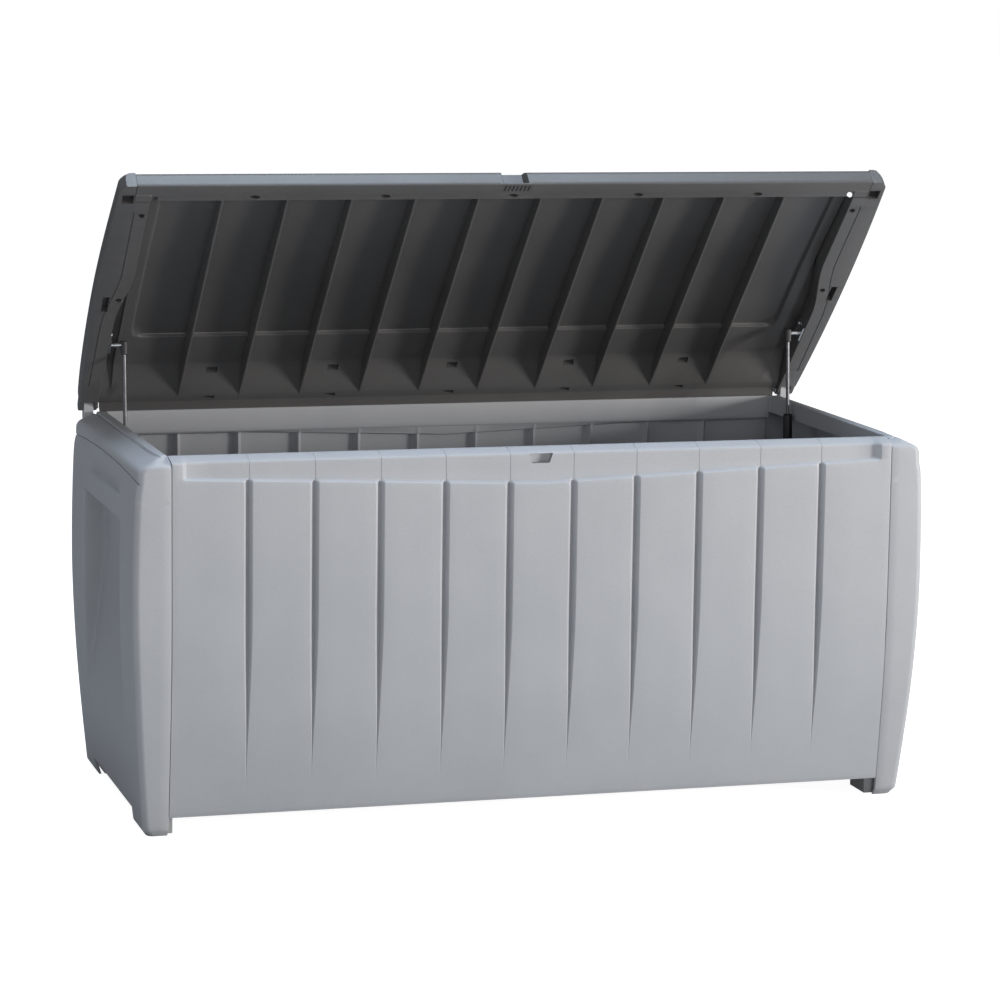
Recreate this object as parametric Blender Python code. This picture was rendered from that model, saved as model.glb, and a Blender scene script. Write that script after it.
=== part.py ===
"""Deck storage box: plank-look resin panels that clip together at the corners, and a ribbed lid
on two hinge pins, held open by two gas struts. Metres, +Z up, +Y to the back, lid open at rest."""

from math import cos, pi, radians, sin

import bmesh
import bpy
from mathutils import Matrix, Vector

# Driving dimensions
PLANK_PITCH = 0.099
PLANKS = 11
SEAM_X = 0.559  # half width where the front and back panels meet the corner posts
HALF_LENGTH = 0.6158  # over the bulge of the end panels
PLANK_FACE = 0.2745  # plank faces, front and back, from the middle of the box
BAND_FACE = 0.2647  # the recessed band under the lid, and the bottoms of the grooves
RIM_Z = 0.567
BODY_BOTTOM = 0.028
WALL = 0.004
GAP = 0.0003
CENTRE_Y = -0.0015  # puts the origin under the middle of the whole box with its lid open

RECESS_Y = 0.155  # half length of the hand-hold's recess, front to back
RECESS_DRAFT = 0.008
RECESS_TOP = 0.461
RECESS_FLOOR = 0.580  # half width at the recess's floor, which is upright above RECESS_BEND
RECESS_BEND = 0.370
LEDGE_FALL = 0.006  # how far the ledge behind the band slopes down to the front
BAR_Y = 0.165  # half length of the hand-hold's bar, which stands proud of the wall above it
BAR_TOP = 0.4915
BAR_STEP = 0.0075
# The rim's shoulder: (height, half width) over the sides and (height, depth) over the corner posts.
SHOULDER_SIDE = ((0.530, 0.6095), (0.546, 0.6070), (0.5545, 0.6010), (0.5650, 0.5790))
SHOULDER_POST = ((0.530, PLANK_FACE), (0.546, PLANK_FACE), (0.5545, 0.2735), (0.5580, 0.2680))
# Rows up an end panel's wall: (height, how much higher the same row is on the inside).
END_ROWS = ((0, 0), (0.034, 0), (0.075, 0), (0.13, 0), (0.20, 0), (0.28, 0), (0.37, 0))
END_ROWS += ((0.4605, WALL), (0.4615, WALL), (0.4905, -WALL / 2), (0.4925, -WALL / 2), (0.505, 0))
CORNER_RADIUS = 0.016
RIM_CORNER = 0.0015
RIM_INNER_X = 0.5610
RIM_INNER_FRONT = 0.2380
RIM_INNER_BACK = 0.2570
FOOT_INNER_Y = 0.1690
FOOT_TUCK = 0.009

HINGE_Y = 0.2689
HINGE_Z = 0.5757
OPEN_ANGLE = radians(44.6)
PIN_RADIUS = 0.004
PIN_HOLE = 0.00445
PIN_END_X = 0.6005
KNUCKLE_X = (0.5805, 0.5960)
KNUCKLE_RADIUS = 0.0085
EAR_RADIUS = 0.0082
EARS_X = ((0.5747, 0.5798), (0.5967, 0.6036))

LID_HALF_WIDTH = 0.579  # seam between the lid panel and its side rails
LID_FRONT = 0.5375  # from the hinge axis to the lid's front face
LID_TOP = 0.0300
LID_BOTTOM = RIM_Z + 0.0006 - HINGE_Z
RIB_EDGE = -0.002
FLANGE_Z = -0.0065  # underside of the flange behind the skirt
RIB_FRONT = 0.5013
RIB_HALF = 0.0016
RIB_FADE = (0.1053, 0.0500)  # the ribs grow out of the skin between these distances from the axis
SKIN_ROWS = (-0.08, -RIB_FADE[0], -0.16, -0.27, -0.38, -0.46, -RIB_FRONT - 0.0004)
SKIN_END = ((-0.0170, 0.0195), (-0.0300, 0.0215))
# The lip along the lid's rear, which hangs behind the back panel's top when the lid is open.
REAR_LIP = [(-0.0040, 0.0165), (0.0030, 0.0076), (0.0082, 0.0018), (0.0085, -0.0066), (0.0060, -0.0078)]
REAR_LIP_INSET = 0.0034
RAIL_INNER = (0.5565, 0.5745)  # half width of a rail's inner edge: at the front, and to the rear
RAIL_TURN = (0.34, 0.21)
RAIL_OUTER = (0.6040, 0.6115, 0.6040)
RAIL_CORNER = (0.0095, 0.0130)
RAIL_SCREWS_Y = (-0.470, -0.2720)
SCREW_HOLE = 0.0022
SCREW_RADIUS = 0.0018

ANCHOR_U = 0.1565  # strut ball on the lid: forward of the hinge axis and above it, lid closed
ANCHOR_V = -0.0030
STRUT_FOOT = Vector((0.5505, 0.1360, 0.4000))
ROD_RADIUS = 0.003
CYLINDER_RADIUS = 0.0075
CYLINDER_LENGTH = 0.137
ROD_END = 0.1345  # inner end of the rod, from the strut's foot, with the lid open
EYE_RADIUS = 0.0116
EYE_HOLE = 0.0076
STUD_RADIUS = 0.003
BALL_RADIUS = 0.0045
LID_BRACKET_SCREWS = (-0.011, 0.011)
BRACKET_SCREW_Z = 0.0090
FOOT_SCREWS = ((0.0, 0.017), (0.0, -0.017))

SIDES = {"left": -1, "right": 1}
GROOVES = [PLANK_PITCH * (i - (PLANKS - 2) / 2) for i in range(PLANKS - 1)]
STEPS = 16


def clear_scene():
    for obj in list(bpy.data.objects):
        bpy.data.objects.remove(obj, do_unlink=True)


def material(name, color, roughness, metallic=0.0):
    mat = bpy.data.materials.new(name)
    mat.use_nodes = True
    shader = mat.node_tree.nodes["Principled BSDF"]
    shader.inputs["Base Color"].default_value = (*color, 1)
    shader.inputs["Roughness"].default_value = roughness
    shader.inputs["Metallic"].default_value = metallic
    return mat


def ramp(value, low, high):
    """0 below low, 1 above high and smooth between; low may be the larger."""
    t = min(max((value - low) / (high - low), 0), 1)
    return t * t * (3 - 2 * t)


def add_object(name, bm, mat, parent, smooth=30):
    bmesh.ops.recalc_face_normals(bm, faces=bm.faces)
    mesh = bpy.data.meshes.new(name)
    bm.to_mesh(mesh)
    bm.free()
    mesh.shade_smooth()
    mesh.set_sharp_from_angle(angle=radians(smooth))
    if mat:
        mesh.materials.append(mat)
    obj = bpy.data.objects.new(name, mesh)
    bpy.context.collection.objects.link(obj)
    obj.parent = parent
    return obj


def loft_mesh(rings):
    """Skins rings of points that each run round the section, and caps both ends."""
    bm = bmesh.new()
    rows = [[bm.verts.new(p) for p in ring] for ring in rings]
    count = len(rows[0])
    for a, b in zip(rows, rows[1:]):
        for i in range(count):
            j = (i + 1) % count
            bm.faces.new((a[i], a[j], b[j], b[i]))
    bm.faces.new(rows[0])
    bm.faces.new(rows[-1])
    return bm


def box_mesh(low, high):
    bm = bmesh.new()
    size = Vector(high) - Vector(low)
    centre = (Vector(high) + Vector(low)) / 2
    matrix = Matrix.Translation(centre) @ Matrix.Diagonal((*size, 1))
    bmesh.ops.create_cube(bm, size=1, matrix=matrix)
    return bm


def turned_mesh(profile, start, direction, steps=STEPS):
    """Turns a profile of (distance along, radius) round the line from start along direction."""
    turn = Vector((0, 0, 1)).rotation_difference(Vector(direction)).to_matrix()
    rings = []
    for along, radius in profile:
        ring = []
        for i in range(steps):
            angle = 2 * pi * (i + 0.5) / steps
            point = Vector((radius * cos(angle), radius * sin(angle), along))
            ring.append(Vector(start) + turn @ point)
        rings.append(ring)
    return loft_mesh(rings)


def cutter(name, bm, parent):
    obj = add_object(name, bm, None, parent)
    obj.hide_render = True
    obj.display_type = "WIRE"
    return obj


def combine(obj, tool, operation):
    modifier = obj.modifiers.new(f"{operation.lower()}_{tool.name}", "BOOLEAN")
    modifier.operation = operation
    modifier.solver = "EXACT"
    modifier.object = tool


def cut_hole(obj, name, profile, start, direction, parent):
    combine(obj, cutter(name, turned_mesh(profile, start, direction), parent), "DIFFERENCE")


# The plank-look front and back panels


def groove_plane(z):
    """Distance from the middle of the box to the bottoms of the grooves: it tucks in low down."""
    return BAND_FACE - 0.0185 * max(1 - z / 0.2, 0) ** 1.5


def plank_height(z):
    """How far a plank stands proud of the bottoms of the grooves beside it."""
    return 0.0098 * ramp(z, 0.07, 0.34)


def band_edge(x):
    """Lower edge of the recessed band, which bows down towards the middle."""
    return 0.5150 + 0.0370 * abs(x)


def wall_stations():
    """(x, share of the plank height, share of the band's recess) across the panel."""
    half = 0.0075
    seam = SEAM_X - GAP
    stations = [(-seam, 1, 0), (-0.541, 1, 0), (-0.533, 1, 1)]
    for x in GROOVES:
        stations += [(x - half, 1, 1), (x, 0, 1), (x + half, 1, 1)]
    return stations + [(0.533, 1, 1), (0.541, 1, 0), (seam, 1, 0)]


def wall_ring(x, plank, band, side, ledge):
    edge = band_edge(x)
    rows = (BODY_BOTTOM, 0.08, 0.14, 0.22, 0.34, edge - 0.012)
    outer = [(groove_plane(z) + plank_height(z) * plank, z) for z in rows]
    top = BAND_FACE + plank_height(edge) * plank * (1 - band)
    fall = LEDGE_FALL if side < 0 else 0.0
    outer += [(outer[-1][0] - 0.0012, edge - 0.001), (top, edge + 0.001)]
    outer += [(top, RIM_Z - 0.004 - fall), (top - 0.0015, RIM_Z - 0.002 - fall)]
    inner = [(y - WALL, z) for y, z in outer[:-1]][::-1]
    inner[0] = (inner[0][0], RIM_Z - 0.009 - fall)
    if side < 0:
        lip = [(ledge, RIM_Z - 0.001), (ledge, RIM_Z - 0.030)]
        lip += [(ledge + WALL, RIM_Z - 0.030), (ledge + WALL, RIM_Z - 0.005)]
    else:
        lip = [(ledge, RIM_Z - 0.002), (ledge, RIM_Z - 0.036)]
        lip += [(ledge + 0.002, RIM_Z - 0.038)]
        inner = [(y, min(z, RIM_Z - 0.040 - 0.001 * i)) for i, (y, z) in enumerate(inner)]
    return [Vector((x, side * y, z)) for y, z in outer + lip + inner]


def plank_panel(name, side, ledge, mat, parent):
    rings = [wall_ring(x, plank, band, side, ledge) for x, plank, band in wall_stations()]
    return add_object(name, loft_mesh(rings), mat, parent)


def lock_slot(panel, parent):
    """Tapered slot in the band, through which a padlock reaches the lid's hook hole."""
    rings = []
    for y in (-BAND_FACE - 0.004, -BAND_FACE + 0.010):
        corners = ((-0.019, 0.5575), (0.019, 0.5575), (0.014, 0.5430), (-0.014, 0.5430))
        rings.append([Vector((x, y, z)) for x, z in corners])
    combine(panel, cutter("lock_slot_cutter", loft_mesh(rings), parent), "DIFFERENCE")


# The end panels, which wrap round the corners


def side_profile(z):
    """Half width of the box over its end panels at height z."""
    if z > 0.35:
        return HALF_LENGTH - 0.0035 * ((z - 0.35) / 0.15) ** 2
    return HALF_LENGTH - 0.0195 * ((0.35 - z) / 0.35) ** 1.7


def corner_profile(z):
    """Distance from the middle of the box to the front of a corner post at height z."""
    return groove_plane(z) + plank_height(z)


def recess_floor(z):
    """Half width at the floor of the hand-hold's recess, which runs out to the side face low down."""
    return RECESS_FLOOR + 0.029 * max((RECESS_BEND - z) / 0.225, 0) ** 1.25


def side_offset(y, z):
    """Half width at (y, z), with the hand-hold's recess and its bar."""
    x = side_profile(z)
    if z < RECESS_TOP:
        inside = ramp(abs(y), RECESS_Y + RECESS_DRAFT, RECESS_Y)
        return x - inside * max(x - recess_floor(z), 0)
    if z > BAR_TOP:
        return x - BAR_STEP * ramp(abs(y), BAR_Y, BAR_Y - 0.030)
    return x


def end_stations():
    """(plan angle of the surface's normal, y on the straight side, lower edge) round one end."""
    front = [(0, None, 0.0)] + [(angle, None, 0.0) for angle in (0, 22.5, 45, 67.5, 89.9)]
    half = [(FOOT_INNER_Y, 0.0), (FOOT_INNER_Y - 0.004, BODY_BOTTOM)]
    half += [(RECESS_Y + RECESS_DRAFT, BODY_BOTTOM), (RECESS_Y, BODY_BOTTOM)]
    straight = [(-y, low) for y, low in half] + [(0.0, BODY_BOTTOM)] + half[::-1]
    back = [(180 - angle, y, low) for angle, y, low in front[::-1]]
    return front + [(90, y, low) for y, low in straight] + back


def end_point(angle, y, x, depth, at_seam, inside=0.0):
    """Where one station meets an outline of this half width and half depth, or a wall inside it."""
    normal = Vector((sin(radians(angle)), -cos(radians(angle))))
    if at_seam:
        return Vector((SEAM_X, normal.y * (depth - inside)))
    if y is not None:
        return Vector((x - inside, y))
    side = 1 if normal.y > 0 else -1
    centre = Vector((x - CORNER_RADIUS, side * (depth - CORNER_RADIUS)))
    return centre + normal * (CORNER_RADIUS - inside)


def end_ring(angle, y, low, at_seam, side):
    """Section of an end panel at one station: up the outside, over the rim and down the inside."""
    normal = Vector((sin(radians(angle)), -cos(radians(angle))))
    share = normal.x**2
    outer = []
    inner = []
    for row, up in END_ROWS:
        z = max(row, low)
        tuck = FOOT_TUCK * ramp(z, 0.030, 0.0)
        depth = corner_profile(z) - tuck
        across = 0.25 if y is None else abs(y)
        x = side_offset(across, z) - tuck
        inner_x = side_offset(max(across - WALL, 0), z) - tuck
        outer.append((end_point(angle, y, x, depth, at_seam), z))
        inner.append((end_point(angle, y, inner_x, depth, at_seam, WALL), z + up))
    for (side_z, x), (post_z, depth) in zip(SHOULDER_SIDE, SHOULDER_POST):
        z = side_z * share + post_z * (1 - share)
        outer.append((end_point(angle, y, x, depth, at_seam), z))
        inner.append((end_point(angle, y, x, depth, at_seam, WALL), z))
    inner[-1] = (inner[-1][0], outer[-1][1] - 0.0050)
    inner[-2] = (inner[-2][0], outer[-2][1] - 0.0035)
    rim_y = -(RIM_INNER_FRONT - RIM_CORNER) if angle < 90 else RIM_INNER_BACK - RIM_CORNER
    rim = Vector((SEAM_X if at_seam else RIM_INNER_X - RIM_CORNER, rim_y if y is None else y))
    edge = rim + normal * RIM_CORNER
    behind = edge + normal * WALL
    points = [Vector((*at, z)) for at, z in outer]
    points += [Vector((*edge, RIM_Z)), Vector((*edge, RIM_Z - 0.028))]
    points += [Vector((*behind, RIM_Z - 0.028)), Vector((*behind, RIM_Z - 0.006))]
    points += [Vector((*at, z)) for at, z in inner[::-1]]
    return [Vector((side * p.x, p.y, p.z)) for p in points]


def knuckle_mesh(side, clearance=0.0):
    """The post that holds the hinge pin: upright sides and a round top."""
    radius = KNUCKLE_RADIUS + clearance
    rings = []
    for x in (KNUCKLE_X[0] - clearance, KNUCKLE_X[1] + clearance):
        ring = [Vector((side * x, HINGE_Y + radius, RIM_Z - 0.0125))]
        for i in range(9):
            angle = pi * i / 8
            ring.append(Vector((side * x, HINGE_Y + radius * cos(angle), HINGE_Z + radius * sin(angle))))
        ring.append(Vector((side * x, HINGE_Y - radius, RIM_Z - 0.0125)))
        rings.append(ring)
    return loft_mesh(rings)


def end_panel(name, side, mat, parent):
    stations = end_stations()
    last = len(stations) - 1
    rings = [end_ring(*station, i in (0, last), side) for i, station in enumerate(stations)]
    panel = add_object(f"{name}_end_panel", loft_mesh(rings), mat, parent)
    combine(panel, cutter(f"{name}_knuckle", knuckle_mesh(side), parent), "UNION")
    pin_hole(panel, f"{name}_knuckle_hole", side, parent)
    plate_x = strut_wall_x()
    for i, (dy, dz) in enumerate(FOOT_SCREWS):
        start = (side * (plate_x - 0.002), STRUT_FOOT.y + dy, STRUT_FOOT.z + dz)
        profile = [(0, SCREW_HOLE), (0.0048, SCREW_HOLE)]
        cut_hole(panel, f"{name}_foot_hole_{i}", profile, start, (side, 0, 0), parent)
    return panel


def pin_hole(obj, name, side, parent):
    """The hole for the hinge pin, through a knuckle or a pair of ears."""
    start = (side * (EARS_X[0][0] + 0.0005), HINGE_Y, HINGE_Z)
    length = EARS_X[1][1] + 0.002 - EARS_X[0][0]
    cut_hole(obj, name, [(0, PIN_HOLE), (length, PIN_HOLE)], start, (side, 0, 0), parent)


def strut_wall_x():
    """Half width of the end panel's inner face behind the strut's lower bracket."""
    return side_offset(STRUT_FOOT.y, STRUT_FOOT.z) - WALL


# The floor


def floor_panel(mat, parent):
    """A tray with a turned-down edge, stiffening ribs below it and a block inside each foot."""
    half_x, half_y, corner = 0.5905, 0.2385, 0.030
    outline = []
    for quarter in range(4):
        centre_x = (half_x - corner) * (1 if quarter in (0, 3) else -1)
        centre_y = (half_y - corner) * (1 if quarter in (0, 1) else -1)
        for i in range(4):
            angle = radians(90 * quarter + 30 * i)
            outline.append((centre_x, centre_y, angle))
    rings = []
    for inset, z in ((0, 0.0400), (0, 0.0290), (0.004, 0.0290), (0.004, 0.0360)):
        ring = []
        for centre_x, centre_y, angle in outline:
            radius = corner - inset
            ring.append(Vector((centre_x + radius * cos(angle), centre_y + radius * sin(angle), z)))
        rings.append(ring)
    floor = add_object("floor_panel", loft_mesh(rings), mat, parent)
    for i in range(5):
        x = 0.20 * (i - 2)
        rib = box_mesh((x - 0.002, -0.2365, 0.0295), (x + 0.002, 0.2365, 0.038))
        combine(floor, cutter(f"floor_rib_{i}", rib, parent), "UNION")
    for i in range(4):
        side_x = 1 if i % 2 else -1
        side_y = 1 if i > 1 else -1
        near = (side_x * 0.5495, side_y * (FOOT_INNER_Y + 0.001), 0.0)
        far = (side_x * 0.5805, side_y * 0.2270, 0.038)
        low = [min(a, b) for a, b in zip(near, far)]
        high = [max(a, b) for a, b in zip(near, far)]
        combine(floor, cutter(f"floor_foot_{i}", box_mesh(low, high), parent), "UNION")
    return floor


# The lid, modelled closed with the hinge axis as its origin: y runs to the back from the axis


def lid_top(y):
    """Height of the lid's top face above the hinge axis, falling a little to the front."""
    return LID_TOP - 0.009 * ramp(-y, 0.25, LID_FRONT) - 0.004 * ramp(-y, 0.08, 0.0)


def skin_under(y):
    """Height of the lid panel's thin edge over the rail's inner strip."""
    rows = SKIN_END + tuple((row, lid_top(row) - WALL) for row in SKIN_ROWS)
    for (near, low), (far, high) in zip(rows, rows[1:]):
        if far <= y:
            return low + (high - low) * (y - near) / (far - near)
    return rows[-1][1]


def lid_stations():
    """(x, rib depth, section) across the lid panel; section 1 is full and 2 also has the rear lip."""
    edge = LID_HALF_WIDTH - GAP
    full = RAIL_INNER[1] - 0.0016
    thin = RAIL_INNER[1] - 0.0006
    lipped = full - REAR_LIP_INSET
    stations = [(-edge, 0, 0), (-thin, 0, 0), (-full, 0, 1), (-lipped - 0.001, 0, 1), (-lipped, 0, 2)]
    for x in GROOVES:
        stations += [(x - RIB_HALF - 0.0006, 0, 2), (x - RIB_HALF, 1, 2)]
        stations += [(x + RIB_HALF, 1, 2), (x + RIB_HALF + 0.0006, 0, 2)]
    stations += [(lipped, 0, 2), (lipped + 0.001, 0, 1)]
    return stations + [(full, 0, 1), (thin, 0, 0), (edge, 0, 0)]


def lid_ring(x, rib, full):
    """Section of the lid panel: front skirt, top, rear, underside and the flange behind the skirt."""
    front = -LID_FRONT
    top_rows = (-0.525, -0.46, -0.38, -0.27, -0.16, -0.08, -0.030)
    outer = [(front, LID_BOTTOM + 0.001), (front, 0.0120), (front + 0.003, 0.0180)]
    outer += [(y, lid_top(y)) for y in top_rows] + [(-0.0150, 0.0215), (-0.0112, 0.0170)]
    outer += [(-0.0098, 0.0150), (-0.0090, 0.0135), (-0.0085, 0.0120), (-0.0082, 0.0090)]
    skin = [(y, lid_top(y) - WALL) for y in SKIN_ROWS]
    if full:
        if full == 2:
            outer[-5:] = REAR_LIP
        under = [(-0.0080, RIB_EDGE), (-RIB_FADE[1], RIB_EDGE)]
        under += [(-0.08, 0.5 * (RIB_EDGE + skin[1][1]))] + skin[1:]
        if rib:
            under = [(y, RIB_EDGE - 0.0002 * i) for i, (y, z) in enumerate(under)]
            under[1] = (under[1][0], RIB_EDGE - 0.0001)
            under[-1] = (-RIB_FRONT, RIB_EDGE)
            under[2:-1] = [(y, RIB_EDGE) for y, z in under[2:-1]]
    else:
        outer[-6:] = [(-0.0180 + 0.0002 * i, 0.0235 - 0.0003 * i) for i in range(6)]
        under = list(SKIN_END) + skin
    lip_back = front + 0.0200
    flange = [(-RIB_FRONT - 0.0008, FLANGE_Z), (lip_back, FLANGE_Z), (lip_back, LID_BOTTOM)]
    section = outer + under + flange + [(front + 0.0015, LID_BOTTOM)]
    return [Vector((x, y, z)) for y, z in section]


def rail_inner(y):
    return RAIL_INNER[0] + (RAIL_INNER[1] - RAIL_INNER[0]) * ramp(-y, *RAIL_TURN)


def rail_outer(y):
    """Half width of the lid: rounded at the front corner, widest in the middle."""
    along = -y / LID_FRONT
    x = RAIL_OUTER[0] + (RAIL_OUTER[1] - RAIL_OUTER[0]) * (1 - (2 * along - 1) ** 2)
    into = max(RAIL_CORNER[1] - (LID_FRONT + y), 0)
    x -= RAIL_CORNER[0] * (into / RAIL_CORNER[1]) ** 1.2
    return x


def rail_ring(y, inner, side):
    outer = rail_outer(y)
    edge = LID_HALF_WIDTH + GAP
    top = lid_top(y)
    if y > -0.02:
        top = 0.0215 - (y + 0.015) * 1.3
    under = skin_under(y) - GAP
    points = [(edge, top), (max(outer - 0.012, edge + 0.002), top - 0.0005)]
    points += [(outer - 0.004, top - 0.005), (outer, top - 0.014), (outer, LID_BOTTOM + 0.0015)]
    points += [(outer - 0.0015, LID_BOTTOM), (inner, LID_BOTTOM)]
    points += [(inner, under), (edge, under)]
    return [Vector((side * x, y, z)) for x, z in points]


def lid_rail(name, side, mat, parent):
    edge = LID_HALF_WIDTH + GAP / 2
    flange_end = -RIB_FRONT + 0.0010
    rows = [(-LID_FRONT + 0.0006, edge), (-0.535, edge), (-0.531, edge), (-0.525, edge)]
    rows += [(-0.5155, edge), (flange_end - 0.0008, edge)]
    rows += [(y, rail_inner(y)) for y in (flange_end, -0.46, -0.38, -0.34, -0.31, -0.27, -0.24)]
    rows += [(y, rail_inner(y)) for y in (-0.21, -0.16, -RIB_FADE[0], -0.08, -0.030, -0.0172)]
    rail = add_object(f"lid_{name}_rail", loft_mesh([rail_ring(y, x, side) for y, x in rows]), mat, parent)
    for i, (low, high) in enumerate(EARS_X):
        ear = ear_mesh(side * low, side * high)
        combine(rail, cutter(f"{name}_ear_{i}", ear, parent), "UNION")
    start = (side * (EARS_X[0][0] - 0.002), 0, 0)
    length = PIN_END_X + 0.0005 - (EARS_X[0][0] - 0.002)
    hole = [(0, PIN_HOLE), (length, PIN_HOLE)]
    cut_hole(rail, f"{name}_ear_hole", hole, start, (side, 0, 0), parent)
    for i, y in enumerate(RAIL_SCREWS_Y):
        x = side * rail_screw_x(y)
        profile = [(0, 0.0048), (0.020, 0.0048), (0.0202, SCREW_HOLE), (0.040, SCREW_HOLE)]
        start = (x, y, LID_BOTTOM - 0.001)
        cut_hole(rail, f"{name}_rail_hole_{i}", profile, start, (0, 0, 1), parent)
    for i, dy in enumerate(LID_BRACKET_SCREWS):
        start = (side * (RAIL_INNER[1] - 0.001), -ANCHOR_U + dy, BRACKET_SCREW_Z)
        profile = [(0, SCREW_HOLE), (0.0065, SCREW_HOLE)]
        cut_hole(rail, f"{name}_bracket_hole_{i}", profile, start, (side, 0, 0), parent)
    return rail


def ear_mesh(low, high):
    """One of the two ears of a lid rail that the hinge pin passes through."""
    rings = []
    for x in (low, high):
        ring = [Vector((x, -0.0210, 0.0130)), Vector((x, -0.0210, -EAR_RADIUS + 0.0005))]
        for i in range(8):
            angle = radians(-90 + 150 * i / 7)
            ring.append(Vector((x, EAR_RADIUS * cos(angle), EAR_RADIUS * sin(angle))))
        rings.append(ring)
    return loft_mesh(rings)


def rail_screw_x(y):
    return rail_inner(y) + 0.0085


def screw(name, start, direction, shank, mat, parent):
    """A pan-head screw whose head's underside is at start; its shank runs along direction."""
    profile = [(-0.0028, 0.0028), (-0.0020, 0.0038), (-GAP, 0.0038), (-GAP, SCREW_RADIUS)]
    profile += [(shank, SCREW_RADIUS)]
    return add_object(name, turned_mesh(profile, start, direction, 8), mat, parent)


# The gas struts


def anchor_point(angle):
    """The strut's ball on the lid, in the box's frame, with the lid open by angle."""
    y = HINGE_Y - ANCHOR_U * cos(angle) + ANCHOR_V * sin(angle)
    z = HINGE_Z + ANCHOR_U * sin(angle) + ANCHOR_V * cos(angle)
    return Vector((STRUT_FOOT.x, y, z))


def gas_strut(name, side, mats, frame):
    """Rod from the lid's ball down into the cylinder, whose eye hangs on the lower bracket."""
    top = anchor_point(OPEN_ANGLE)
    foot = STRUT_FOOT.copy()
    top.x = foot.x = side * STRUT_FOOT.x
    up = (top - foot).normalized()
    socket_profile = [(-0.0150, 0.0045), (-0.0140, 0.0055), (0.0045, 0.0062), (0.0062, 0.0050)]
    socket = add_object(f"{name}_strut_socket", turned_mesh(socket_profile, top, up), mats["dark"], frame)
    cup = turned_mesh(ball_profile(BALL_RADIUS + GAP), top, (side, 0, 0))
    combine(socket, cutter(f"{name}_socket_cup", cup, frame), "DIFFERENCE")
    mouth = [(0, 0.0038), (0.012, 0.0038)]
    cut_hole(socket, f"{name}_socket_mouth", mouth, top, (side, 0, 0), frame)
    rod_length = (top - foot).length - 0.0150 - GAP
    start = foot + up * ROD_END
    profile = [(0, ROD_RADIUS), (rod_length - ROD_END, ROD_RADIUS)]
    add_object(f"{name}_strut_rod", turned_mesh(profile, start, up), mats["steel"], frame)
    base = 0.0145
    outer = [(0, 0.0060), (0.002, CYLINDER_RADIUS), (CYLINDER_LENGTH - 0.003, CYLINDER_RADIUS)]
    outer += [(CYLINDER_LENGTH, 0.0060)]
    bore = [(CYLINDER_LENGTH, ROD_RADIUS + GAP), (0.006, ROD_RADIUS + GAP)]
    cylinder = turned_mesh(outer + bore, foot + up * base, up)
    add_object(f"{name}_strut_cylinder", cylinder, mats["black"], frame)
    eye(name, side, foot, up, mats["dark"], frame)


def ball_profile(radius):
    return [(-radius * cos(pi * i / 8), radius * sin(pi * i / 8)) for i in range(1, 8)]


def eye(name, side, foot, up, mat, frame):
    """The cylinder's lower end: a ring round the bracket's stud, with a short neck."""
    half = 0.0035
    ring = [(-half, EYE_RADIUS), (half, EYE_RADIUS)]
    body = add_object(f"{name}_strut_eye", turned_mesh(ring, foot, (1, 0, 0)), mat, frame)
    neck = turned_mesh([(0.008, 0.0030), (0.0142, 0.0055)], foot, up)
    combine(body, cutter(f"{name}_eye_neck", neck, frame), "UNION")
    start = foot - Vector((half + 0.001, 0, 0))
    cut_hole(body, f"{name}_eye_hole", [(0, EYE_HOLE), (0.009, EYE_HOLE)], start, (1, 0, 0), frame)


def stud_bracket(name, plate_x, plate, stud, screws, mat, parent):
    """A plate on a side wall with a stud that points into the box."""
    side = -1 if plate_x < 0 else 1
    thick = 0.0026
    low = (min(plate_x, plate_x - side * thick), plate[0][0], plate[0][1])
    high = (max(plate_x, plate_x - side * thick), plate[1][0], plate[1][1])
    body = add_object(name, box_mesh(low, high), mat, parent)
    start = (plate_x - side * thick / 2, *stud["at"])
    tool = cutter(f"{name}_stud", turned_mesh(stud["profile"], start, (-side, 0, 0)), parent)
    combine(body, tool, "UNION")
    for i, (y, z) in enumerate(screws):
        begin = (plate_x + side * 0.001, y, z)
        hole = [(0, SCREW_HOLE), (0.005, SCREW_HOLE)]
        cut_hole(body, f"{name}_hole_{i}", hole, begin, (-side, 0, 0), parent)
    return body


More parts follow.
